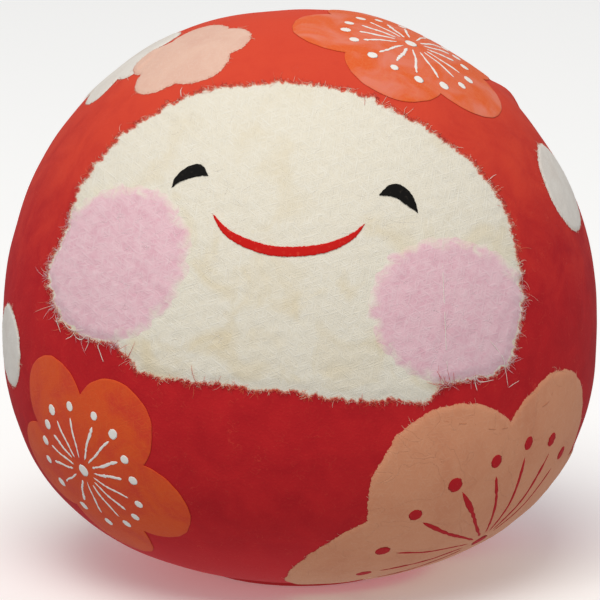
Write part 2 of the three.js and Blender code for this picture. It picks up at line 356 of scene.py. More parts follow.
# %% [markdown]
# ## A sheet of pasted paper
# Rings shrink the outline towards the sheet's middle, and crowd near its rim. The top climbs from a
# rim that lies on the body to the paper's full thickness, fast for a cut edge and slowly for a torn
# one, whose fibres thin out. The underside lies close to the body, and both sides close at the
# middle. Each sheet keeps two UV maps in millimetres: `sheet` is its own plane, and `torn` holds
# the way along the rim and the depth in from it.

# %% Sheets
UNDERSIDE, LEAST_RIM = 0.02, 0.04  # heights in mm
CROWDING, UNDER_RINGS = 1.7, 9
FELT_LUMP = 3.2  # mm


def ease(share):
    """A smooth step from 0 to 1: 3x^2 - 2x^3."""
    x = np.clip(share, 0, 1)
    return x * x * (3 - 2 * x)


def ring_grid(outline, middle, shares):
    """Rings of the outline, shrunk towards the middle, a point or a line, by each share."""
    return middle + shares[:, None, None] * (outline - middle)[None]


def no_base(surface):
    """The height of the bare red covering, which is 0."""
    return np.zeros(surface.shape[:-1])


def first_again(grid):
    """A map needs the first column once more at the end, where the sheet closes."""
    return np.concatenate([grid, grid[:, :1]], axis=1)


def paper_sheet(name, outline, direction, thickness, taper, middle=(0, 0), rings=30,
                rim=0.06, base=no_base, relief=0.03, seed=1, fade_line=None):
    """Height is rim + (thickness - rim) * ease(depth / taper), with low lumps. base gives the
    height, at points of the body, of the paper that this sheet lies on. fade_line is the line
    that its thinning is measured from, where that isn't its outline."""
    middle = np.array(middle, float)
    top = ring_grid(outline, middle, 1 - np.linspace(1, 0, rings) ** CROWDING)
    under = ring_grid(outline, middle, np.linspace(1, 0, UNDER_RINGS)[1:])
    depth = depth_in(outline, top)
    height = rim + (thickness - rim) * ease(depth / taper)
    height = height + relief * waves(top, FELT_LUMP, seed) * ease(depth / 2)
    flat = np.concatenate([top, under])
    low = min(UNDERSIDE, rim - LEAST_RIM)
    lift = np.concatenate([height, np.full(under.shape[:-1], low)])
    lift = lift + base(push_out(flat, direction))
    along = np.linspace(0, length_of(outline), len(outline) + 1)
    if fade_line is not None:
        depth = depth_in(fade_line, top)
    depth = np.concatenate([depth, np.zeros(under.shape[:-1])])
    rim_map = np.stack([np.tile(along, (len(flat), 1)), first_again(depth)], -1)
    maps = {"sheet": first_again(flat), "torn": rim_map}
    return grid_object(name, lay(flat, direction, lift), maps)


print("a sheet's rings, as shares of its outline:", (1 - np.linspace(1, 0, 6) ** CROWDING).round(2))

# %% [markdown]
# Some sheets lie on others. A cheek that floated or sank would spoil the doll, so each sheet can
# say how high it stands at any place of the body.

# %% How high a sheet stands


def reach_of(outline, middle):
    """A function of offsets from the middle: how far the outline reaches, the way each points."""
    spoke = outline - middle
    angle, reach = np.arctan2(spoke[:, 1], spoke[:, 0]), np.hypot(spoke[:, 0], spoke[:, 1])
    order = np.argsort(angle)

    def limit(here):
        way = np.arctan2(here[..., 1], here[..., 0])
        return np.interp(way, angle[order], reach[order], period=2 * np.pi)

    return limit


def height_of(outline, direction, thickness, taper, middle=(0, 0), rim=0.06):
    """A function of points of the body, with paper_sheet's formula, and 0 outside the sheet."""
    limit = reach_of(outline, np.array(middle, float))
    _, across, up = facing(*direction)

    def height(surface):
        flat = np.stack([(surface - CENTRE) @ across, (surface - CENTRE) @ up], -1)
        here = flat - middle
        inside = np.hypot(here[..., 0], here[..., 1]) < limit(here)
        return inside * (rim + (thickness - rim) * ease(depth_in(outline, flat) / taper))

    return height


tile = plum_outline([(0, 0, 8)], 640)
places = push_out(np.array([[(0, 0), (7, 0), (9, 0)]], float), FACE)
print("a round sheet, 0.4 mm thick, in its middle, near its rim and past it:",
      height_of(tile, FACE, 0.4, 3.0)(places).round(2))

# %% [markdown]
# ## Fibres and brush strokes
# A fibre is a thin three-sided tube along a curve on the body, and it comes to a point at both
# ends. A brush stroke is a flattened tube, and a painted dot is a short, wide stroke. They are all
# a profile carried along a path, made many at a time. A fibre keeps a flat side up, so it takes
# the light as the paper does.

# %% Tubes on the body
BLUNTNESS = 0.35  # 0 gives a fibre square ends, and 1 gives it a spindle's


def curled_paths(start, heading, length, curl, steps):
    """Each path turns steadily from its heading: the running sum of cos and sin of the angle."""
    angle = heading[:, None] + curl[:, None] * np.linspace(0, 1, steps)
    step = (length / (steps - 1))[:, None, None] * np.stack([np.cos(angle), np.sin(angle)], -1)
    path = np.cumsum(step, axis=1) - step[:, :1]
    return start[:, None] + path


def tubes(paths, direction, height, half_width, half_height, sides):
    """A ring of points round every path point: path + half_width * cos * side + half_height * sin *
    normal, where the side lies on the body, across the path."""
    middle = lay(paths, direction, height)
    normal = body_normal(middle)
    side = np.cross(np.gradient(middle, axis=-2), normal)
    side /= np.maximum(np.linalg.norm(side, axis=-1, keepdims=True), 1e-9)
    turn = np.linspace(0, 2 * np.pi, sides, endpoint=False) - np.pi / 2
    out_side = (half_width[..., None] * np.cos(turn))[..., None] * side[..., None, :]
    out_up = (half_height[..., None] * np.sin(turn))[..., None] * normal[..., None, :]
    return middle[..., None, :] + out_side + out_up


def fibres(name, paths, direction, height, radius):
    """Three-sided tubes, radius * (4x(1-x))^bluntness thick. radius has one number for each."""
    share = np.linspace(0, 1, paths.shape[1])
    thick = radius[:, None] * (4 * share * (1 - share)) ** BLUNTNESS
    return grid_object(name, tubes(paths, direction, height, thick, 0.5 * thick, 3))


turning = curled_paths(np.zeros((1, 2)), np.zeros(1), np.array([4.0]), np.array([1.6]), 12)
print("a fibre 4 mm long, turned by 1.6 radians, ends at", turning[0, -1].round(2), "mm")

# %% [markdown]
# Fibres come in three habits. A fringe stands out of a torn rim, in tufts that lean together.
# Others are scattered over a sheet, in every direction. A few lie where they were worked loose, and
# are led through chosen points.

# %% Fringes, scattered fibres and single ones
FRINGE_STEPS, FIBRE_STEPS, TRAIL_STEPS = 6, 12, 16
LEAST_TUFT, MOST_TUFT = 0.25, 2.5


def fringe(name, outline, direction, count, length, spread, lean, height, radius, seed,
           inset=0.8, base=no_base, where=None):
    """Fibres that start inset mm inside a torn rim and run out over it. height gives their tips'
    and their roots'. spread turns each fibre and lean turns a tuft, in radians. where picks the
    points of the rim that have any."""
    draw = np.random.default_rng(seed)
    root = draw.choice(np.arange(len(outline))[slice(None) if where is None else where], count)
    out = outward(outline)[root]
    tuft = ragged(outline, [(9, 1.0), (4, 0.7)], seed + 1)[root]
    heading = np.arctan2(out[:, 1], out[:, 0]) + lean * tuft + spread * draw.normal(size=count)
    reach = length * np.exp(0.5 * draw.normal(size=count))
    reach = reach * np.clip(0.9 + tuft, LEAST_TUFT, MOST_TUFT)
    start = outline[root] - out * inset * draw.uniform(0.2, 1.2, count)[:, None]
    paths = curled_paths(start, heading, reach, 0.9 * draw.normal(size=count), FRINGE_STEPS)
    share = np.linspace(0, 1, FRINGE_STEPS)
    at_tip, at_root = height
    arch = draw.uniform(0, 0.3, count)[:, None] * np.sin(np.pi * share)
    below = base(push_out(paths, direction))
    lift = below + at_root + (at_tip - at_root) * ease(share * 1.6) + arch
    return fibres(name, paths, direction, lift, radius * draw.uniform(0.6, 1.3, count))


def scattered(name, outline, middle, direction, count, length, curl, height, radius, seed, base,
              within=0.9):
    """Long fibres that lie in every direction on a sheet, within a share of its outline."""
    draw = np.random.default_rng(seed)
    share = within * np.sqrt(draw.uniform(0, 1, count))[:, None]
    start = middle + share * (outline[draw.integers(0, len(outline), count)] - middle)
    reach = length * np.exp(0.35 * draw.normal(size=count))
    bend = curl * draw.normal(size=count)
    paths = curled_paths(start, draw.uniform(0, 2 * np.pi, count), reach, bend, FIBRE_STEPS)
    lift = base(push_out(paths, direction)) + height
    return fibres(name, paths, direction, lift, radius * draw.uniform(0.6, 1.2, count))


def trails(name, routes, direction, height, radius, base=no_base):
    """Single fibres through chosen points of a sheet's plane, each a Catmull-Rom curve."""
    paths = np.array([smooth_line(route, TRAIL_STEPS, closed=False) for route in routes])
    draw = np.random.default_rng(len(routes))
    lift = base(push_out(paths, direction)) + height + 0.04 * waves(paths, 3, seed=2)
    return fibres(name, paths, direction, lift, radius * draw.uniform(0.8, 1.2, len(routes)))


print("a fringe fibre has", FRINGE_STEPS, "rings, a scattered one", FIBRE_STEPS)

# %% [markdown]
# ## The camera
# A long lens far away keeps the doll's shape undistorted. It looks down by 12 degrees, so that the
# face, which is tilted up by as much, is seen square on. It aims a little above the middle of the
# body, and its depth of field is off.

# %% Camera
CAMERA_ELEVATION = 12
CAMERA_DISTANCE = 14 * BELLY_RADIUS
LENS = 249.7
AIM_ABOVE_CENTRE = 5.47  # mm, along the camera's up direction

outwards, _, camera_up = facing(0, CAMERA_ELEVATION)
camera_place = CENTRE + CAMERA_DISTANCE * outwards
aim = CENTRE + AIM_ABOVE_CENTRE * camera_up
camera = bpy.data.objects.new("camera", bpy.data.cameras.new("camera"))
camera.data.lens = LENS
camera.data.clip_start, camera.data.clip_end = 0.05, 20
camera.location = Vector(camera_place * MM)
camera.rotation_euler = Vector((aim - camera_place) * MM).to_track_quat("-Z", "Y").to_euler()
bpy.context.scene.collection.objects.link(camera)
bpy.context.scene.camera = camera
print("camera at", [round(x, 3) for x in camera.location])

# %% [markdown]
# ## Materials
# Colours are written as the hex values that a colour picker gives, and one function turns them
# into the linear numbers that a renderer adds up. One more adds a node, with its settings and its
# links, so that a material reads as a list of what it is made of.

# %% Material tools


def linear(code):
    """sRGB hex to linear colour: a straight line near black and a power of 2.4 above it."""
    shares = np.array([int(code[i : i + 2], 16) / 255 for i in (1, 3, 5)])
    low, high = shares / 12.92, ((shares + 0.055) / 1.055) ** 2.4
    return (*np.where(shares <= 0.04045, low, high), 1.0)


def add(tree, kind, settings=None, inputs=None, output=0):
    """Adds a node, sets its properties, sets or links its inputs, and gives back one output."""
    node = tree.nodes.new("ShaderNode" + kind)
    for key, value in (settings or {}).items():
        setattr(node, key, value)
    for key, value in (inputs or {}).items():
        if isinstance(value, bpy.types.NodeSocket):
            tree.links.new(value, node.inputs[key])
        else:
            node.inputs[key].default_value = value
    return node.outputs[output]


MIX = {"data_type": "RGBA"}
FACTOR, FIRST, SECOND, MIXED = 0, 6, 7, 2  # the sockets of a colour Mix node
FLAT, SMOOTH = {"noise_dimensions": "2D"}, {"interpolation_type": "SMOOTHSTEP"}
STRETCHED = {"vector_type": "TEXTURE"}  # Scale is then the pattern's size, not the place's
CELLULOSE_IOR = 1.5


def new_finish(name, roughness, sheen=0.0, specular=0.5):
    """A Principled material, with its even values set on the shader's own sockets."""
    material = bpy.data.materials.new(name)
    material.use_nodes = True
    shader = material.node_tree.nodes["Principled BSDF"]
    shader.inputs["Roughness"].default_value = roughness
    shader.inputs["Sheen Weight"].default_value = sheen
    shader.inputs["Sheen Roughness"].default_value = 0.5
    shader.inputs["Specular IOR Level"].default_value = specular
    shader.inputs["IOR"].default_value = CELLULOSE_IOR
    print("finish", name, "of roughness", roughness)
    return material, material.node_tree, shader


def wear(tree, shader, colour, height, depth, strength=0.6):
    """Gives the shader its colour, and its relief, depth metres from valley to peak."""
    tree.links.new(colour, shader.inputs["Base Color"])
    bump = {"Height": height, "Distance": depth, "Strength": strength}
    tree.links.new(add(tree, "Bump", None, bump), shader.inputs["Normal"])


print("crimson #b91c24 is", [round(x, 3) for x in linear("#b91c24")[:3]], "in linear colour")

# %% [markdown]
# ### Red dyed kozo paper
# Kozo is the bark of the paper mulberry. Its fibres are long, so a dyed sheet shows soft clouds
# where the dye took unevenly, a fine felt, and here and there a paler fibre that lies on top.
# Towards the crown the red is painted lighter and more orange, a painted highlight where the
# softbox's sheen falls. Towards the foot it is painted a brighter red, painted light that keeps the
# underside out of deep shade. The pattern reads Object coordinates, which here are metres, so a
# Mapping node makes them mm.

# %% Red paper
# Two of these reds are painted light: a lighter orange red is a painted highlight on the crown, and
# the brighter red on the next line is painted light on the foot, against its shade.
RED_DEEP, RED_BRIGHT, RED_CROWN_HIGHLIGHT, RED_FIBRE = "#b91c24", "#c92328", "#de4b33", "#e2523e"
RED_FOOT_LIGHT = "#d92a31"
CROWN_HIGHLIGHT_FROM, CROWN_HIGHLIGHT_TO, FOOT_LIGHT_FROM, FOOT_LIGHT_TO = 62, 122, 27, 5  # mm above the ground
CROWN_HIGHLIGHT_WANDER = 44  # mm, from the noise's valleys to its peaks


def millimetres(tree):
    """Object coordinates, which are metres, times 1000."""
    place = add(tree, "TexCoord", output=3)
    return add(tree, "Mapping", None, {"Vector": place, "Scale": (1000, 1000, 1000)})


def curly_lines(tree, place, scale, width, twist=1.2):
    """1 - |noise - 0.5| / width: a curly line, like a fibre, where the noise is near its middle."""
    noise = {"Vector": place, "Scale": scale, "Detail": 2.0, "Distortion": twist}
    cloud = add(tree, "TexNoise", None, noise)
    off = add(tree, "Math", {"operation": "SUBTRACT"}, {0: cloud, 1: 0.5})
    near = add(tree, "Math", {"operation": "ABSOLUTE"}, {0: off})
    return add(tree, "MapRange", None, {"Value": near, "From Min": 0.0, "From Max": width,
                                        "To Min": 1.0, "To Max": 0.0})


def red_paper(tree, place):
    """Colour and height of the red sheet at a place in mm. Clouds are 9 mm and felt is 0.5 mm.
    The crown is painted lighter and orange, a painted highlight, and the foot a brighter red,
    painted light against its shade. Curly pale fibres show where a noise is high."""
    drift = add(tree, "TexNoise", None, {"Vector": place, "Scale": 0.11, "Detail": 5.0,
                                         "Roughness": 0.6, "Distortion": 0.5})
    cloud = add(tree, "MapRange", None, {"Value": drift, "From Min": 0.35, "From Max": 0.65})
    felt = add(tree, "TexNoise", None, {"Vector": place, "Scale": 2.0, "Detail": 3.0})
    lines = curly_lines(tree, place, 0.30, 0.012)
    sparse = add(tree, "TexNoise", None, {"Vector": place, "Scale": 0.23, "Detail": 1.0})
    sparse = add(tree, "MapRange", None, {"Value": sparse, "From Min": 0.52, "From Max": 0.62,
                                          "To Max": 0.35})
    lines = add(tree, "Math", {"operation": "MULTIPLY"}, {0: lines, 1: sparse})
    shade = add(tree, "Mix", MIX, {FACTOR: cloud, FIRST: linear(RED_DEEP),
                                   SECOND: linear(RED_BRIGHT)}, MIXED)
    level = add(tree, "SeparateXYZ", None, {"Vector": place}, output=2)
    # Painted light: towards the foot the red turns brighter, against the shade it lies in.
    foot_light = add(tree, "MapRange", SMOOTH, {"Value": level, "From Min": FOOT_LIGHT_TO,
                                           "From Max": FOOT_LIGHT_FROM, "To Min": 1.0, "To Max": 0.0})
    shade = add(tree, "Mix", MIX, {FACTOR: foot_light, FIRST: shade, SECOND: linear(RED_FOOT_LIGHT)}, MIXED)
    # Painted highlight: above a wandering line the crown turns lighter and orange, where the
    # softbox's sheen falls.
    level = add(tree, "Math", {"operation": "MULTIPLY_ADD"}, {0: drift, 1: CROWN_HIGHLIGHT_WANDER, 2: level})
    crown_highlight = add(tree, "MapRange", SMOOTH, {"Value": level, "From Min": CROWN_HIGHLIGHT_FROM + CROWN_HIGHLIGHT_WANDER / 2,
                                           "From Max": CROWN_HIGHLIGHT_TO + CROWN_HIGHLIGHT_WANDER / 2})
    shade = add(tree, "Mix", MIX, {FACTOR: crown_highlight, FIRST: shade, SECOND: linear(RED_CROWN_HIGHLIGHT)}, MIXED)
    pale = add(tree, "MapRange", None, {"Value": felt, "From Min": 0.55, "From Max": 0.8,
                                        "To Max": 0.14})
    shade = add(tree, "Mix", MIX, {FACTOR: pale, FIRST: shade, SECOND: linear(RED_FIBRE)}, MIXED)
    shade = add(tree, "Mix", MIX, {FACTOR: lines, FIRST: shade, SECOND: linear(RED_FIBRE)}, MIXED)
    height = add(tree, "Math", {"operation": "ADD"}, {0: felt, 1: lines})
    return shade, height


red_finish, tree, shader = new_finish("red_dyed_kozo_paper", roughness=0.75, specular=0.12)
wear(tree, shader, *red_paper(tree, millimetres(tree)), depth=0.00012)
print(red_finish.name, "has", len(tree.nodes), "nodes")

# %% [markdown]
# ### Undyed and pink kozo
# The face is thick, undyed kozo, felted and cream, and the cheeks are dyed pink. Fibres lie in
# every direction, so the pattern is three noises, each stretched along one direction and turned,
# with the brightest kept. Warmer, barkier clouds lie low on the face.

# %% Felted paper
CREAM, CREAM_PALE, CREAM_WARM = "#eee6d3", "#f3eee0", "#e6d5b0"
PINK, PINK_DEEP, PINK_FIBRE = "#efc3cc", "#e9b6c2", "#f4d6db"

# A felt fibre's length and width in mm. A real one is about 0.03 mm wide, too fine to show, so
# these are as wide as small bundles.
CREAM_FELT, PINK_FELT = (3.0, 0.28), (2.2, 0.4)


def sheet_plane(tree):
    """The sheet's own plane in mm, from its UV map."""
    return add(tree, "UVMap", {"uv_map": "sheet"})


def felted(tree, place, length, width):
    """The brightest of three noises, each length mm by width mm along its own direction."""
    layers = []
    for turn in (0.3, 1.4, 2.45):
        turned = add(tree, "Mapping", STRETCHED,
                     {"Vector": place, "Rotation": (0, 0, turn), "Scale": (length, width, 1)})
        layers.append(add(tree, "TexNoise", FLAT,
                          {"Vector": turned, "Scale": 1.0, "Detail": 2.0, "Distortion": 0.4}))
    brighter = add(tree, "Math", {"operation": "MAXIMUM"}, {0: layers[0], 1: layers[1]})
    return add(tree, "Math", {"operation": "MAXIMUM"}, {0: brighter, 1: layers[2]})


def cream_paper(tree, place):
    """Colour and height of undyed kozo: 11 mm warm clouds, and paler fibres."""
    cloud = add(tree, "TexNoise", FLAT,
                {"Vector": place, "Scale": 0.09, "Detail": 3.0, "Distortion": 0.6})
    warm = add(tree, "MapRange", None, {"Value": cloud, "From Min": 0.5, "From Max": 0.72})
    level = add(tree, "SeparateXYZ", None, {"Vector": place}, output=1)
    low = add(tree, "MapRange", None, {"Value": level, "From Min": -14.0, "From Max": 45.0,
                                       "To Min": 0.75, "To Max": 0.2})
    warm = add(tree, "Math", {"operation": "MULTIPLY"}, {0: warm, 1: low})
    felt = felted(tree, place, *CREAM_FELT)
    pale = add(tree, "MapRange", None, {"Value": felt, "From Min": 0.5, "From Max": 0.75,
                                        "To Max": 0.8})
    shade = add(tree, "Mix", MIX, {FACTOR: pale, FIRST: linear(CREAM),
                                   SECOND: linear(CREAM_PALE)}, MIXED)
    shade = add(tree, "Mix", MIX, {FACTOR: warm, FIRST: shade, SECOND: linear(CREAM_WARM)}, MIXED)
    return shade, felt


def pink_paper(tree, place):
    """Colour and height of pink kozo: 3 mm deeper clouds, and paler fibres."""
    felt = felted(tree, place, *PINK_FELT)
    cloud = add(tree, "TexNoise", FLAT,
                {"Vector": place, "Scale": 0.35, "Detail": 4.0, "Distortion": 1.0})
    deep = add(tree, "MapRange", None, {"Value": cloud, "From Min": 0.4, "From Max": 0.68})
    pale = add(tree, "MapRange", None, {"Value": felt, "From Min": 0.5, "From Max": 0.75,
                                        "To Max": 0.5})
    shade = add(tree, "Mix", MIX, {FACTOR: deep, FIRST: linear(PINK),
                                   SECOND: linear(PINK_DEEP)}, MIXED)
    shade = add(tree, "Mix", MIX, {FACTOR: pale, FIRST: shade, SECOND: linear(PINK_FIBRE)}, MIXED)
    return shade, felt


print("felt fibres are", CREAM_FELT, "mm on the face and", PINK_FELT, "mm on the cheeks")

# %% [markdown]
# A torn rim thins out. Near it, noise that is stretched across it decides where the cream ends and
# the red beneath shows, and between the two lies thin kozo that has drunk some of the red dye. The
# cheeks thin out into the cream in the same way, but more gently.

# %% Torn rims
STAINED = "#e8834f"


def torn_rim(tree, soft, streak=(0.35, 1.6), level=0.5, blur=0.28, uneven=1.6):
    """depth / soft + uneven * noise, eased from 0 to 1 about its middle: 0 where the paper has
    thinned out and 1 where it covers. soft is how deep, in mm, it thins, and blur is how
    gently."""
    rim = add(tree, "UVMap", {"uv_map": "torn"})
    turned = add(tree, "Mapping", STRETCHED, {"Vector": rim, "Scale": (*streak, 1)})
    noise = add(tree, "TexNoise", FLAT,
                {"Vector": turned, "Scale": 1.0, "Detail": 3.0, "Distortion": 0.5})
    depth = add(tree, "SeparateXYZ", None, {"Vector": rim}, output=1)
    share = add(tree, "Math", {"operation": "DIVIDE"}, {0: depth, 1: soft})
    reach = add(tree, "Math", {"operation": "MULTIPLY_ADD"}, {0: noise, 1: uneven, 2: share})
    edge = uneven / 2 + level
    return add(tree, "MapRange", SMOOTH,
               {"Value": reach, "From Min": edge - blur, "From Max": edge + blur})


cream_finish, tree, shader = new_finish("undyed_kozo_paper_felted", roughness=0.9, sheen=0.3,
                                        specular=0.25)
cream, cream_height = cream_paper(tree, sheet_plane(tree))
red, _ = red_paper(tree, millimetres(tree))
cover = torn_rim(tree, soft=1.0, streak=(1.1, 1.8), level=0.4, blur=0.3, uneven=1.1)
tinged = add(tree, "Mix", MIX, {FACTOR: cover, FIRST: linear(STAINED), SECOND: cream}, MIXED)
shade = add(tree, "Mix", MIX, {FACTOR: cover, FIRST: red, SECOND: tinged}, MIXED)
wear(tree, shader, shade, cream_height, depth=0.00035)

pink_finish, tree, shader = new_finish("pink_kozo_paper_felted", roughness=0.9, sheen=0.3,
                                       specular=0.25)
pink, pink_height = pink_paper(tree, sheet_plane(tree))
cream, _ = cream_paper(tree, sheet_plane(tree))
cover = torn_rim(tree, soft=3.2, streak=(2.6, 2.0), level=0.45, blur=0.6)
shade = add(tree, "Mix", MIX, {FACTOR: cover, FIRST: cream, SECOND: pink}, MIXED)
wear(tree, shader, shade, pink_height, depth=0.00025)

# %% [markdown]
# ### Loose fibres
# A fibre that stands out of a torn rim, or lies on a sheet, has the sheet's own colour, but paler,
# because light passes through it. Those at the face's rim are stained by the red.

# %% Fibre finishes


def fibre_paper(name, code):
    """One even colour, which is enough for a fibre a tenth or two of a millimetre thick."""
    material, _, shader = new_finish(name, roughness=0.8, sheen=0.2, specular=0.2)
    shader.inputs["Base Color"].default_value = linear(code)
    return material


fibre_finish = fibre_paper("loose_kozo_fibre", "#fbe4cc")
stained_fibre_finish = fibre_paper("stained_kozo_fibre", "#f2744a")
red_fibre_finish = fibre_paper("loose_red_kozo_fibre", "#d8382a")
cream_fibre_finish = fibre_paper("felted_kozo_fibre", "#fcf5e8")
pink_fibre_finish = fibre_paper("loose_pink_kozo_fibre", "#f8dde2")
pale_fibre_finish = fibre_paper("loose_peach_kozo_fibre", "#f3c4a5")
# The creases' ridges are a darker peach, a painted shade along the folds.
crease_shade_finish = fibre_paper("peach_kozo_crease_painted_shade", "#c97f58")

# %% [markdown]
# ### The blossoms' papers
# The orange paper is printed with watery ink, so it drifts between orange and red. Its copy on the
# blossom high on the body is paler and drifts to pink, a painted highlight. The peach and white
# papers are soft torn kozo, with a faint felt and a few creases from pasting.

# %% Blossom papers
DYED_FELT = (2.0, 0.3)  # mm, and coarse again


def dyed_paper(name, base, drift, fibre, cloud_size, roughness=0.7, soft=0.35, level=0.2,
               creases=0.0):
    """Two colours in clouds cloud_size mm across, with a paler felt. drift is the clouds' colour,
    and soft is 0 for a cut edge. creases is how high its curly creases stand."""
    material, tree, shader = new_finish(name, roughness, sheen=0.05, specular=0.15)
    place = sheet_plane(tree)
    cloud = add(tree, "TexNoise", FLAT,
                {"Vector": place, "Scale": 1 / cloud_size, "Detail": 5.0, "Distortion": 0.5})
    cloud = add(tree, "MapRange", None, {"Value": cloud, "From Min": 0.4, "From Max": 0.68})
    felt = felted(tree, place, *DYED_FELT)
    pale = add(tree, "MapRange", None, {"Value": felt, "From Min": 0.55, "From Max": 0.8,
                                        "To Max": 0.4})
    shade = add(tree, "Mix", MIX, {FACTOR: cloud, FIRST: linear(base), SECOND: linear(drift)},
                MIXED)
    shade = add(tree, "Mix", MIX, {FACTOR: pale, FIRST: shade, SECOND: linear(fibre)}, MIXED)
    crease = curly_lines(tree, place, 0.06, 0.006, twist=2.0)
    height = add(tree, "Math", {"operation": "MULTIPLY_ADD"}, {0: crease, 1: creases, 2: felt})
    if soft:
        red, _ = red_paper(tree, millimetres(tree))
        cover = torn_rim(tree, soft, level=level)
        shade = add(tree, "Mix", MIX, {FACTOR: cover, FIRST: red, SECOND: shade}, MIXED)
    wear(tree, shader, shade, height, depth=0.00015)
    return material


orange_finish = dyed_paper("orange_printed_paper", "#e35322", "#d94127", "#e9692f", 9, soft=0)
# A paler, pinker copy of the orange paper for the blossom high on the body: a painted highlight
# where the softbox's sheen falls.
orange_highlight_finish = dyed_paper("orange_printed_paper_painted_highlight", "#e9622a", "#ea7f66", "#ee8858", 8,
                           soft=0)
peach_finish = dyed_paper("peach_kozo_paper", "#e29a74", "#dc916c", "#e9ae8b", 12, creases=-0.8)
pale_finish = dyed_paper("pale_peach_kozo_paper", "#ecc2ad", "#e6b8a4", "#f2d4c4", 12)
white_finish = dyed_paper("white_kozo_paper", "#e9e3da", "#e2d9cf", "#f4f0ea", 10)

# %% [markdown]
# ### Small papers, paint and what is inside
# Eyes are matt black paper, which swallows the light, and the smile is a brighter red than the
# covering. The stamens are opaque paint, of ground shell or red, and smoother than paper. Pulp is
# grey-brown and rough, kraft paper brown, and dried clay rough with coarse grains. The foot's card
# is painted as bright a red as the covering, painted light against the shadow that it sits in. The
# clay weight and the foot's disc keep their CAD meshes.

# %% Small finishes


def speckled(name, base, speck, size, roughness, share=0.6, depth=0.0001, specular=0.3):
    """One colour, with specks of another, size mm across, wherever a fine noise is over share."""
    material, tree, shader = new_finish(name, roughness, specular=specular)
    place = millimetres(tree)
    noise = add(tree, "TexNoise", None, {"Vector": place, "Scale": 1 / size, "Detail": 4.0})
    factor = add(tree, "MapRange", None, {"Value": noise, "From Min": share,
                                          "From Max": share + 0.12})
    shade = add(tree, "Mix", MIX, {FACTOR: factor, FIRST: linear(base), SECOND: linear(speck)},
                MIXED)
    wear(tree, shader, shade, noise, depth)
    return material


black_finish = speckled("black_dyed_paper", "#100e0c", "#2a251f", 0.7, 0.8, specular=0.15)
smile_finish = speckled("red_smile_paper", "#cf1813", "#dc4030", 0.8, 0.75, specular=0.15)
white_paint = speckled("white_gofun_paint", "#f7f3ec", "#e9dfd2", 0.6, 0.6, share=0.62)
red_paint = speckled("red_paint", "#c11b23", "#cb3230", 0.8, 0.7, specular=0.15)
pulp_finish = speckled("moulded_paper_pulp", "#b9a888", "#8f7f63", 1.5, 0.95, depth=0.0004)
kraft_finish = speckled("pasted_kraft_paper", "#a98a5f", "#8a6d47", 1.0, 0.85)
clay_finish = speckled("air_dried_clay", "#8d6f55", "#735843", 2.0, 0.9, depth=0.0004)
# Painted light: the card is as bright as the covering, so its rim, in the doll's shadow on the
# floor, doesn't go dark.
card_painted_light_finish = speckled("red_card_painted_light", "#c0262a", "#c93a36", 0.8, 0.8)

KEPT_NODES = {"ballast_weight": clay_finish, "base_disc": card_painted_light_finish}
for node, finish in KEPT_NODES.items():
    nodes[node].data.materials.clear()
    nodes[node].data.materials.append(finish)
    print(node, "is", finish.name)

# %% [markdown]
# A mesh is only a surface. Each piece is given its material, and the CAD nodes that it stands for
# are hidden.

# %% Dressing a piece


def dress(piece, finish, slot, *replaced):
    """Gives a piece its material, and hides the CAD nodes that it stands for. slot is not used."""
    piece.data.materials.append(finish)
    if replaced:
        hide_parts(*replaced)
    return piece


print(len(nodes) - len(KEPT_NODES), "CAD nodes will have a piece that stands for them")

# %% [markdown]
# ## The red covering
# Four red sheets go round the body. Each is a closed shell: its rows run from the middle of the
# base, out round the foot and up to the crown, and its columns run across the outside and back
# along the inside. The front and back sheets lap over the side ones. Torn kozo thins to nothing
# and its fibres blend, so a lapped side dips a little, and comes up through its neighbour.

# %% Red sheets
LAP, UNDER = 2.4, 2.0  # degrees past the joint, over it and under it
LAPPED_HEIGHT, DIP = 0.02, 0.03
ROWS_UP, ROWS_BASE, INSIDE_COLUMNS = 150, 12, 24
STRIP_HALF_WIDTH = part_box("core_joint_strip")[1].y / MM
REBATE_SLOPE = 0.4  # mm


def meridian(count):
    """The body's outline from the base's edge to the top, as radius and height, evenly spaced.
    It is belly radius * cos^(2/n) and reach * sin^(2/n) of an angle, which is a superellipse."""
    angle = np.linspace(-np.pi / 2, np.pi / 2, 4 * count)
    power, reach = crown_or_foot(angle)
    radius = BELLY_RADIUS * np.abs(np.cos(angle)) ** (2 / power)
    height = BELLY_HEIGHT + np.sign(angle) * reach * np.abs(np.sin(angle)) ** (2 / power)
    keep = height > FOOT_HEIGHT
    line = np.stack([radius[keep], height[keep]], -1)
    line = np.vstack([[(BASE_RADIUS, FOOT_HEIGHT)], line[:-1], [(0, CROWN_HEIGHT)]])
    return evenly(line, count, closed=False)


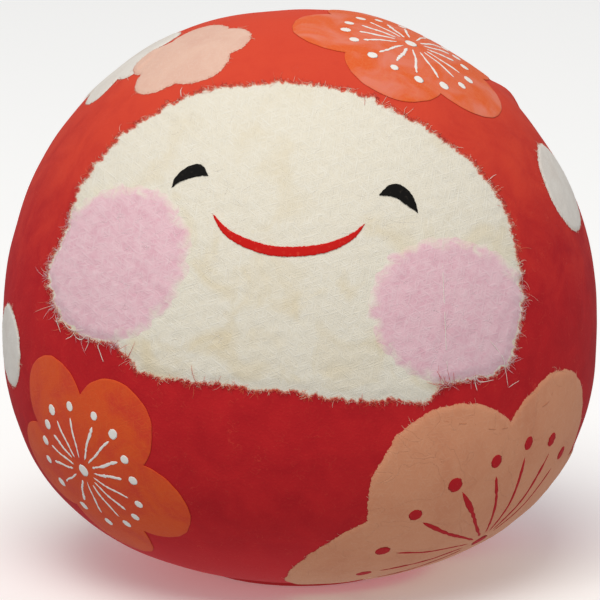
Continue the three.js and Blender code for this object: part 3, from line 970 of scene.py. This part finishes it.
def gore(name, start, stop, lapped=0, outside=0.0, inside=-0.35, columns=1.0, rebate=0.0):
    """A closed shell of the body between two azimuths, in degrees: the meridian, turned about Z,
    once at the outside height and back at the inside one. lapped is 1 if its sides lie on its
    neighbours, and rebate is how much lower its outside is under the joint strip."""
    base = np.linspace(0, BASE_RADIUS, ROWS_BASE)[:-1]
    line = np.vstack([np.stack([base, np.full(len(base), FOOT_HEIGHT)], -1), meridian(ROWS_UP)])
    share = np.arange(len(line))[:, None] / len(line)
    wander = [0.5 * waves(30 * share, 6, seed=40 + side)[:, None] for side in (0, 1)]
    outer = np.linspace(0, 1, int((stop - start) * columns))
    across = np.concatenate([outer, np.linspace(1, 0, INSIDE_COLUMNS + 2)[1:-1]])
    low = start + lapped * (wander[0] - LAP)
    high = stop + lapped * (wander[1] + LAP)
    turn = np.radians(low + (high - low) * across)
    height = np.broadcast_to(line[:, 1:], turn.shape)
    points = np.stack([line[:, :1] * np.sin(turn), -line[:, :1] * np.cos(turn), height], -1)
    normal = body_normal(points)
    normal[: len(base)] = (0, 0, -1)
    edge = np.minimum(across, 1 - across) * (stop - start)
    rise = lapped * (LAPPED_HEIGHT * ease((edge - LAP / 2) / LAP) - DIP * (1 - ease(edge / LAP)))
    from_strip = (np.abs(points[..., 1]) - STRIP_HALF_WIDTH) / REBATE_SLOPE
    rise = outside + rise - rebate * (1 - ease(from_strip))
    rise = np.where(np.arange(len(across)) < len(outer), rise, inside)
    lift = rise + dents(points) * (np.arange(len(line)) >= len(base))[:, None]
    return grid_object(name, points + lift[..., None] * normal)


SIDE_FROM, SIDE_TO = 62, 118  # degrees
RED_SHEETS = {
    "red_sheet_front": (-SIDE_FROM, SIDE_FROM, 1), "red_sheet_back": (SIDE_TO, 360 - SIDE_TO, 1),
    "red_sheet_right": (SIDE_FROM - UNDER, SIDE_TO + UNDER, 0),
    "red_sheet_left": (-SIDE_TO - UNDER, -SIDE_FROM + UNDER, 0),
}
for name, (start, stop, lapped) in RED_SHEETS.items():
    dress(gore(name + "_paper", start, stop, lapped), red_finish, "red_paper", name)

# %% [markdown]
# ## The papier-mache under it
# The moulded core has the same dents as its covering, since they were made in it, so nothing pokes
# through. Its two halves meet on the upright plane between front and back, and a strip of kraft
# paper, in a shallow rebate, goes all the way round over the joint.

# %% Core and joint strip
CORE_OUTSIDE, CORE_INSIDE, REBATE, STRIP_INSIDE = -0.5, -2.5, 0.5, -0.9  # mm from the red outside
STRIP_ROWS, STRIP_COLUMNS = 140, 13
JOINT_GAP = 0.2  # degrees, on each side of the joint


def joint_strip(name):
    """A band round the body: a line along Y, pushed out along (cos, 0, sin) of each row's angle.
    Its columns run across the outside and back along the inside."""
    turn = np.linspace(0, 2 * np.pi, STRIP_ROWS)[:, None, None]
    wide = np.linspace(-1, 1, STRIP_COLUMNS)
    across = STRIP_HALF_WIDTH * np.concatenate([wide, wide[::-1]])
    way = np.concatenate([np.cos(turn), 0 * turn, np.sin(turn)], -1)
    start = CENTRE + across[None, :, None] * np.array([0, 1, 0])
    surface = to_body(start + 0 * way, way)
    flat_foot = surface[..., 2:] < FOOT_HEIGHT + 0.01
    normal = np.where(flat_foot, (0, 0, -1), body_normal(surface))
    level = np.repeat([CORE_OUTSIDE, STRIP_INSIDE], len(wide))
    lift = level[None, :, None] + dents(surface)[..., None] * ~flat_foot
    return grid_object(name, surface + lift * normal)


for name, middle in (("core_front_half", 0), ("core_back_half", 180)):
    half = gore(name + "_pulp", middle - 90 + JOINT_GAP, middle + 90 - JOINT_GAP,
                outside=CORE_OUTSIDE, inside=CORE_INSIDE, columns=0.5, rebate=REBATE)
    dress(half, pulp_finish, "pulp", name)
dress(joint_strip("core_joint_strip_paper"), kraft_finish, "kraft", "core_joint_strip")

# %% [markdown]
# ## The face
# The face sheet is nearly half a millimetre thick and was torn, not cut. Its outline is a smooth
# loop with rough waves on it.

# %% Face sheet
FACE_THICKNESS, FACE_TAPER, FACE_MIDDLE = 0.4, 3.0, (-3, 17)
FACE_CORNERS = [
    (0, 50.6), (-9, 50.5), (-21, 48.9), (-32, 43.6), (-40, 37.5), (-46, 29.5), (-49.5, 20),
    (-52.6, 13), (-52.4, 5), (-48.5, -0.8), (-43, -3.6), (-38.5, -4.6), (-35.4, -7.6),
    (-31.5, -10.6), (-23, -12), (-11, -13.2), (0, -14.4), (10, -15.8), (20, -15.9), (26, -16.2),
    (29.5, -13.2), (35, -11.7), (40.4, -10.6), (44.6, -6.5), (46.6, 1), (46.4, 10), (44.8, 18.5),
    (41.5, 27.5), (36.5, 33.4), (29, 39.6), (18, 45.8), (8.4, 49.4),
]
TORN_DEEP = [(14, 0.3), (5, 0.36), (2, 0.33), (0.9, 0.18)]
face_edge = torn(smooth_line(FACE_CORNERS, 1100), TORN_DEEP, 3, FACE_MIDDLE)
face = paper_sheet("face_sheet_paper", face_edge, FACE, FACE_THICKNESS, FACE_TAPER, FACE_MIDDLE,
                   rings=60, relief=0.04)
dress(face, cream_finish, "cream_paper", "face_sheet")
face_height = height_of(face_edge, FACE, FACE_THICKNESS, FACE_TAPER, FACE_MIDDLE)

# %% [markdown]
# Fibres stand out all round the face's rim, pale ones and ones stained by the red. Red ones creep
# over it from the covering, and stand in three thick tufts below the cheeks and the smile. Longer
# cream ones lie on the sheet in every direction.

# %% Fibres of the face
HAIR = 0.035  # mm, a fibre's radius, about twice a real one's, so that it shows
TUFTS, TUFT_REACH = np.array([(-19, -12.5), (-37.5, -6.0), (30, -13.3)]), 2.2
inward_edge = face_edge[::-1]
near_tuft = depth_in(TUFTS, inward_edge[None])[0] < TUFT_REACH

fuzz = fringe("face_sheet_fringe", face_edge, FACE, count=1500, length=0.5, spread=0.8, lean=0.7,
              height=(0.05, 0.12), radius=HAIR, seed=7)
dress(fuzz, fibre_finish, "cream_paper")
stained = fringe("face_sheet_stained_fringe", face_edge, FACE, count=1600, length=0.6, spread=0.7,
                 lean=0.7, height=(0.05, 0.1), radius=HAIR, seed=8)
dress(stained, stained_fibre_finish, "cream_paper")
creeping = fringe("red_sheet_fibres", inward_edge, FACE, count=1300, length=0.55, spread=0.6,
                  lean=0.7, height=(0.3, 0.06), radius=0.04, seed=6, inset=0.2)
dress(creeping, red_fibre_finish, "red_paper")
tufts = fringe("red_sheet_tufts", inward_edge, FACE, count=110, length=1.3, spread=0.5, lean=0.6,
               height=(0.15, 0.08), radius=0.045, seed=5, inset=0.3, base=face_height,
               where=near_tuft)
dress(tufts, red_fibre_finish, "red_paper")
stray = fringe("face_sheet_strays", face_edge, FACE, count=40, length=1.2, spread=0.9, lean=0.4,
               height=(0.08, 0.2), radius=HAIR, seed=9)
dress(stray, fibre_finish, "cream_paper")
felt = scattered("face_sheet_fibres", face_edge, np.array(FACE_MIDDLE), FACE, count=140, length=5,
                 curl=1.6, height=-0.01, radius=HAIR, seed=10, base=face_height)
dress(felt, cream_fibre_finish, "cream_paper")

# %% [markdown]
# ## The cheeks
# The cheeks lie on the face, so their height starts from the face's own, which falls away near its
# torn rim. Where a cheek would hang over that rim, it is drawn in to it. Its fibres are long and
# fine, and lie loosely.

# %% Cheeks
CHEEKS = {
    "cheek_left": [(-36.5, 29.6), (-44.5, 26.8), (-51.5, 21), (-55.5, 11), (-52.5, -0.5),
                   (-44, -5.6), (-34.5, -3.4), (-26.5, 3), (-21.8, 12), (-22.8, 22), (-28.5, 28)],
    "cheek_right": [(30.5, 18.8), (21.5, 16.8), (15, 11), (13.2, 3), (15.8, -5), (22.3, -10.8),
                    (31, -13.6), (41, -13.5), (48.5, -7.5), (49.5, 3.4), (44.5, 12.8),
                    (37.5, 17.2)],
}
CHEEK_THICKNESS, CHEEK_TAPER, CHEEK_RIM = 0.25, 3.0, -0.05  # the rim sinks into the felt
CHEEK_WAVES = [(9, 0.4), (3, 0.2)]
FACE_MARGIN, NEAR_RIM = 0.15, 1.0  # mm


def kept_on(outline, limits, middle, margin):
    """Shrinks each spoke of an outline to the limits' reach that way, less a margin, if longer."""
    here = outline - middle
    limit = reach_of(limits, middle)(here) - margin
    return middle + here * np.minimum(1, limit / np.hypot(here[:, 0], here[:, 1]))[:, None]


for number, (name, corners) in enumerate(CHEEKS.items()):
    smooth = smooth_line(corners, 420)
    whole = torn(smooth, CHEEK_WAVES, 20 + number, smooth.mean(axis=0))
    edge = kept_on(whole, face_edge, np.array(FACE_MIDDLE), FACE_MARGIN)
    middle = np.mean(edge, axis=0)
    cheek = paper_sheet(name + "_paper", edge, FACE, CHEEK_THICKNESS, CHEEK_TAPER, middle,
                        rings=40, rim=CHEEK_RIM, base=face_height, seed=8 + number,
                        fade_line=whole)
    dress(cheek, pink_finish, "pink_paper", name)
    hairs = scattered(name + "_fibres", edge, middle, FACE, count=110, length=4.5, curl=2.2,
                      height=CHEEK_THICKNESS - 0.02, radius=HAIR, seed=30 + number,
                      base=face_height, within=0.68)
    dress(hairs, pink_fibre_finish, "pink_paper")
    outer = depth_in(face_edge, edge[None])[0] < NEAR_RIM
    soft = fringe(name + "_fringe", edge, FACE, count=420, length=0.75, spread=0.7, lean=0.5,
                  height=(0.05, 0.25), radius=HAIR, seed=34 + number, inset=1.2,
                  base=face_height, where=outer)
    dress(soft, pink_fibre_finish, "pink_paper")

# %% [markdown]
# A few single fibres have worked loose where the sheets were torn. They are placed one by one:
# loops at the left cheek, a long straight one down the right cheek, bent ones at its edge, and two
# short ones at the face's upper rim.

# %% Loose fibres
LOOPS = [  # points across and up the face's plane, in mm
    [(-51, 2.2), (-50.6, 0.6), (-49.8, -1.6)],
    [(-49.6, 2), (-48.6, 0), (-47.3, -1), (-44.4, -1)],
    [(-47.1, -1.4), (-46.3, -2.6), (-45.2, -3), (-44, -2)],
    [(-48.8, -3), (-47.3, -2.2), (-46.4, -0.8)],
    [(-44.6, -5.5), (-43.8, -3.8), (-43.6, -2.2)],
    [(-41.9, -4), (-41.1, -6.2), (-40.5, -7.7)],
    [(38.7, -3), (41.5, -6.4), (42.4, -9), (43.2, -13)],
    [(43.2, -13), (44.4, -12.2), (45.6, -11.5)],
    [(28.9, 12.9), (29.3, 5.1), (29.8, -5.9), (30.1, -9.8)],
    [(35.9, -10.4), (36.1, -12.1), (36.5, -13.6)],
    [(36.2, -10), (36.9, -11.7), (40.2, -11.3)],
    [(-24.5, 49.6), (-24.8, 48.8), (-24.7, 47.4)],
    [(38.6, 29.6), (40.2, 31), (41, 31.4)],
]
loose = trails("loose_fibres", LOOPS, FACE, height=0.26, radius=0.08, base=face_height)
dress(loose, cream_fibre_finish, "cream_paper")

# %% [markdown]
# ## Eyes and smile
# Two arched black crescents and a long red one give the doll its laugh. Each shrinks towards a
# line between its upper and lower edge, because a point in the middle would lie outside it.

# %% Eyes and smile


def crescent(upper, lower, count):
    """Two curves with the same ends make a closed outline. The middle line is their mean, there
    and back, so it has a point for each of the outline's."""
    upper, lower = (smooth_line(side, count, closed=False) for side in (upper, lower))
    mean = (upper + lower) / 2
    return np.vstack([lower, upper[-2:0:-1]]), np.vstack([mean, mean[-2:0:-1]])


def thick_line(centre_line, half_width, count):
    """A curve moved up and down by half_width * (1 - x^5) * (0.72 + 0.28(1 - x^2)), x from -1 to 1
    along it, which is 0 at its two ends."""
    line = smooth_line(centre_line, count, closed=False)
    along = np.gradient(line, axis=0)
    across = np.stack([-along[:, 1], along[:, 0]], -1)
    across /= np.linalg.norm(across, axis=1, keepdims=True)
    share = np.abs(np.linspace(-1, 1, count))[:, None]
    half = half_width * (1 - share**5) * (0.72 + 0.28 * (1 - share**2))
    return crescent(line + half * across, line - half * across, count)


EYES = {
    "eye_left": ([(-26.3, 28.1), (-25.6, 30.1), (-23.7, 32), (-21.2, 33), (-19.6, 32.3),
                  (-18.7, 30.5)], [(-26.3, 28.1), (-24.6, 29.3), (-22.8, 29.9), (-20.8, 30.4),
                                   (-18.7, 30.5)]),
    "eye_right": ([(16, 26.4), (17.6, 28.1), (19.4, 28.8), (21.6, 27.9), (23.3, 25.7),
                   (24.1, 22.8)], [(16, 26.4), (19.2, 26), (21.6, 24.5), (24.1, 22.8)]),
}
SMILE = [(-17.9, 22.8), (-15.8, 19.8), (-13.5, 17.9), (-9.6, 16.1), (-5.3, 15), (0.1, 14.9),
         (4.7, 15.5), (8.2, 16.7), (11, 18.3), (13.2, 20.6)]

SMILE_HALF_WIDTH, EYE_POINTS, SMILE_POINTS = 1.0, 80, 220
SMALL = dict(thickness=0.2, taper=0.25, rings=10, rim=0.12, relief=0.0)
SCISSOR_WAVES = [(2.2, 0.05), (0.9, 0.04)]


def on_the_face(surface):
    """The face's own height, and a little paste."""
    return face_height(surface) + 0.02


small_papers = {name: (*crescent(*sides, EYE_POINTS), black_finish, "black_paper")
                for name, sides in EYES.items()}
smile = thick_line(SMILE, SMILE_HALF_WIDTH, SMILE_POINTS)
small_papers["mouth"] = (*smile, smile_finish, "mouth_paper")
for number, (name, (edge, middle, finish, slot)) in enumerate(small_papers.items()):
    edge = edge + ragged(edge, SCISSOR_WAVES, 60 + number)[:, None] * outward(edge)
    piece = paper_sheet(name + "_paper", edge, FACE, middle=middle, base=on_the_face, **SMALL)
    dress(piece, finish, slot, name)

# %% [markdown]
# ## Plum blossoms
# A plum blossom is five round petals. The orange ones are cut from thin printed paper, so their
# edges are clean. The peach and white ones are torn kozo, with a soft edge and short hairs. The
# largest reaches the foot, so its outline is drawn in along its own spokes until it stays on the
# body's side.

# %% Blossoms
CUT = dict(thickness=0.2, taper=0.15, rim=0.12, relief=0.012)
TORN = dict(thickness=0.3, taper=0.9, rim=0.05, relief=0.02)
CLEAN, ROUGH = [(11, 0.12), (4, 0.06)], [(11, 0.2), (4, 0.14), (1.4, 0.1), (0.7, 0.06)]
LARGE_PETALS = [(78.3, 22.2, 18.2), (139.7, 26.0, 18.9), (199.0, 16.8, 23.4), (275, 19, 18.5),
                (355, 20.7, 18.5)]

# The second orange is the copy with a painted highlight, for the blossom high on the body.
orange, highlit_orange = ((finish, "orange_paper", CUT, CLEAN)
                         for finish in (orange_finish, orange_highlight_finish))
peach, pale_peach = ((finish, "peach_paper", TORN, ROUGH) for finish in (peach_finish, pale_finish))
white = (white_finish, "white_paper", TORN, ROUGH)
BLOSSOMS = {  # its direction, its petals and its paper
    "plum_orange_left": ((-46.6, -19.7), even_petals(47.1, 15.0, 10.2), orange),
    "plum_orange_top": ((62.3, 68), even_petals(-16.7, 13.7, 11.0), highlit_orange),
    "plum_peach_right": ((52, -40), LARGE_PETALS, peach),
    "plum_white_top": ((-89.8, 57.1), even_petals(19.6, 8.1, 5.45), white),
    "plum_peach_top": ((-54.4, 64.9), even_petals(-17.4, 7.2, 6.9), pale_peach),
    "petal_white_right": ((76.2, 30), [(0, 0, 10.2)], white),
    "petal_white_left": ((-74.1, -0.6), [(0, 0, 8.9)], white),
    "plum_orange_back": ((163, 8), even_petals(30, 14.4, 10.6), orange),
    "plum_white_back": ((-158, 40), even_petals(10, 8.1, 5.45), white),
    "plum_peach_back": ((-140, -22), even_petals(16, 14.4, 10.6), peach),
}
PLUM_POINTS, SPOKE_PLACES = 640, 60


def above_foot(outline, direction, lowest=2.5):
    """Each point moves in along its spoke, to the first of even places that is above the foot."""
    shares = np.linspace(1, 0, SPOKE_PLACES)
    places = push_out(shares[:, None, None] * outline[None], direction)
    return outline * shares[(places[..., 2] > lowest).argmax(0)][:, None]


blossom_edges = {}
for number, (name, (direction, petals, look)) in enumerate(BLOSSOMS.items()):
    finish, slot, sheet, roughness = look
    edge = torn(plum_outline(petals, PLUM_POINTS), roughness, 70 + number, (0, 0))
    edge = above_foot(edge, direction)
    blossom_edges[name] = edge
    base = no_base
    if name == "plum_peach_top":
        below = BLOSSOMS["plum_white_top"][0]
        base = height_of(blossom_edges["plum_white_top"], below, TORN["thickness"], TORN["taper"])
    piece = paper_sheet(name + "_paper", edge, direction, seed=90 + number, base=base, **sheet)
    dress(piece, finish, slot, name)
    if sheet is TORN:
        hairs = fringe(name + "_fringe", edge, direction, count=420, length=0.4, spread=0.7,
                       lean=0.4, height=(0.03, 0.1), radius=0.028, seed=110 + number, inset=0.5,
                       base=base)
        dress(hairs, pale_fibre_finish if slot == "peach_paper" else fibre_finish, slot)

# %% [markdown]
# The largest blossom's paper crept as it was pasted, and folded into two fine, wavy creases. Their
# ridges are a darker peach, a painted shade along the folds.

# %% Creases
CREASES = [  # points across and up the blossom's plane, in mm
    [(-27.5, 31.7), (-22.9, 31.9), (-21.1, 32.4), (-18.2, 31.7), (-13.9, 31.5), (-8.4, 32)],
    [(-3.4, 34.1), (1.6, 34.9), (3, 35.6), (3.7, 36.8)],
]
folds = trails("plum_peach_creases", CREASES, BLOSSOMS["plum_peach_right"][0], height=0.27,
               radius=0.14)
dress(folds, crease_shade_finish, "peach_paper")

# %% [markdown]
# ## Stamens
# The stamens are painted with a brush: a dot in the middle, thin strokes outwards, and a dot past
# the end of each. Every stroke is flat, a little wobbly, and wider where the brush was pressed.

# %% Stamens
STROKE_STEPS, STROKE_SIDES, PAINT_HALF_HEIGHT = 20, 8, 0.05


def stamens(name, direction, middle, dots, inner, gap, widths, height, seed):
    """Strokes from inner to a gap short of each dot, the dots, and one in the middle, all as flat
    tubes. dots are their turns in degrees and reaches in mm. A dot is sqrt(1 - x^2) wide, x from
    -1 to 1 along it, and widths are a stroke's two ends' and the two kinds of dot's."""
    draw = np.random.default_rng(seed)
    width_in, width_out, dot, middle_dot = widths
    count = len(dots)
    turns, reaches = np.array(dots, float).T[..., None]
    turns = np.radians(turns)
    share = np.linspace(0, 1, STROKE_STEPS)
    start = inner + draw.uniform(-0.4, 0.6, (count, 1))
    stop = reaches - gap + draw.uniform(-0.5, 0.5, (count, 1))
    reach = start + (stop - start) * share
    lean = np.radians(draw.uniform(-2.5, 2.5, (count, 1))) * share
    lean = lean + 0.1 * np.sin(draw.uniform(0, 6, (count, 1)) + 9 * share) / reach
    jagged = 1 + 0.22 * draw.normal(size=(count, STROKE_STEPS))
    half = (width_in + (width_out - width_in) * share) * jagged
    half = half * draw.uniform(0.75, 1.3, (count, 1)) * (1 - np.abs(2 * share - 1) ** 9) ** 0.5

    across = np.cos(np.linspace(np.pi, 0, STROKE_STEPS))
    size = np.vstack([dot * draw.uniform(0.88, 1.12, (count, 1)), [[middle_dot]]])
    far = np.vstack([reaches, [[0]]]) + size * across
    half_dot = size * np.sqrt(1 - across**2) * (1 + 0.06 * draw.normal(size=far.shape))

    angle = np.vstack([turns + lean, turns + 0 * share, 0 * share])
    reach, half = np.vstack([reach, far]), np.vstack([half, half_dot])
    paths = np.array(middle) + reach[..., None] * np.stack([np.cos(angle), np.sin(angle)], -1)
    thick = PAINT_HALF_HEIGHT * np.minimum(1, half / 0.15)
    return grid_object(name, tubes(paths, direction, height, half, thick, STROKE_SIDES))


def ring_of_dots(first, count, reach):
    """count dots at one reach, evenly round from the first turn."""
    return [(first + 360 / count * k, reach) for k in range(count)]


print("a dot", ring_of_dots(10, 15, 14.2)[0])

# %% [markdown]
# A painter's dots are never quite even, so on the three blossoms near the face each dot has its own
# turn and distance. The two at the back are even rings, with the same wobble in each stroke.

# %% Painted stamens
LEFT_DOTS = [(120, 14.3), (92, 14.5), (63, 15.2), (41, 15.5), (19, 14.4), (-1, 14.3), (-26, 14.7),
             (-46, 14.5), (-67, 14.5), (-93, 14.3), (-122, 13.5), (-152, 13.4), (-176, 13.7),
             (162, 13.1), (139, 13.0)]
TOP_DOTS = [(148, 13.9), (128, 14.4), (108, 13.9), (81, 14.2), (61, 13.6), (36, 14.0), (12, 14.0),
            (-9, 13.6), (-28, 13.1), (-49, 13.1), (-75, 14.4), (-94, 15.0), (-117, 15.3),
            (-140, 15.2), (-162, 14.4), (176, 14.3)]
RIGHT_DOTS = [(59, 25.3), (78, 27.6), (97, 28.3), (117, 28.3), (138, 29.5), (158, 29.9),
              (182, 28.0), (207, 26.2), (230, 26.0)]
WHITE_WIDTHS, RED_WIDTHS = (0.23, 0.36, 1.05, 1.4), (0.25, 0.42, 1.55, 2.0)
STAMENS = {  # direction, middle, dots, start of the strokes and gap before the dots, widths
    "plum_orange_left": ((-47, -20), (-0.6, 0), LEFT_DOTS, (3.2, 2.4), WHITE_WIDTHS),
    "plum_orange_top": ((60, 66), (0.8, 1.5), TOP_DOTS, (3.2, 2.4), WHITE_WIDTHS),
    "plum_peach_right": ((52, -40), (0.4, -0.1), RIGHT_DOTS, (3.6, 3.3), RED_WIDTHS),
    "plum_orange_back": ((163, 8), (0, 0), ring_of_dots(10, 15, 14.2), (3.0, 2.4), WHITE_WIDTHS),
    "plum_peach_back": ((-140, -22), (0, 0), ring_of_dots(5, 13, 15.0), (3.0, 2.6),
                        (0.2, 0.35, 1.1, 1.5)),
}
PAINTS = {"orange_paper": (white_paint, "white_paper", 0.22),
          "peach_paper": (red_paint, "red_paper", 0.32)}  # the paint, its slot and its height
for number, (name, (direction, middle, dots, gaps, widths)) in enumerate(STAMENS.items()):
    paint, slot, height = PAINTS[BLOSSOMS[name][2][1]]
    piece = stamens(name + "_stamens", direction, middle, dots, *gaps, widths, height, 130 + number)
    dress(piece, paint, slot)

# %% [markdown]
# ## Floor
# A white floor runs far behind the doll, so it fills the whole background. It glows a little, like
# a light table, and takes shadows, but it is hidden from bounced light, so the doll's underside
# stays deep red.

# %% Floor
FLOOR_REACH, FLOOR_GLOW = 6.0, 0.14
corners = FLOOR_REACH * np.array([(-1, -1, 0), (1, -1, 0), (1, 1, 0), (-1, 1, 0)])
floor_mesh = bpy.data.meshes.new("floor")
floor_mesh.from_pydata(corners.tolist(), [], [(0, 1, 2, 3)])
floor = bpy.data.objects.new("floor", floor_mesh)
bpy.context.scene.collection.objects.link(floor)
floor_finish, tree, shader = new_finish("white_painted_floor", roughness=0.9, specular=0.1)
shader.inputs["Base Color"].default_value = linear("#fafaf9")
shader.inputs["Emission Color"].default_value = linear("#ffffff")
shader.inputs["Emission Strength"].default_value = FLOOR_GLOW
floor.data.materials.append(floor_finish)
floor.visible_diffuse = floor.visible_glossy = False
print("floor", 2 * FLOOR_REACH, "m across")

# %% [markdown]
# ## Light
# One large softbox hangs high in front, a little to the left, so that shadows are short and soft.
# It is slightly warm. Even white surroundings, slightly cool, fill the shadows. The Standard view
# transform keeps the papers' hex colours as they were picked.

# %% Light
KEY_DIRECTION = (-14, 60)
KEY_DISTANCE, KEY_SIZE, KEY_WATTS = 3.0, 1.8, 52.0
KEY_COLOUR, ROOM_COLOUR, ROOM_STRENGTH = (1.0, 0.97, 0.92), (0.97, 0.98, 1.0, 1.0), 0.5

key_out, _, _ = facing(*KEY_DIRECTION)
key = bpy.data.objects.new("softbox", bpy.data.lights.new("softbox", "AREA"))
key.data.energy, key.data.size = KEY_WATTS, KEY_SIZE
key.data.color = KEY_COLOUR
key.location = Vector(CENTRE * MM + KEY_DISTANCE * key_out)
key.rotation_euler = Vector(-key_out).to_track_quat("-Z", "Y").to_euler()
bpy.context.scene.collection.objects.link(key)

world = bpy.data.worlds.new("white_room")
world.use_nodes = True
background = world.node_tree.nodes["Background"]
background.inputs["Color"].default_value = ROOM_COLOUR
background.inputs["Strength"].default_value = ROOM_STRENGTH
bpy.context.scene.world = world
bpy.context.scene.view_settings.view_transform = "Standard"
print("softbox of", KEY_WATTS, "W,", KEY_SIZE, "m wide, at", [round(x, 2) for x in key.location])
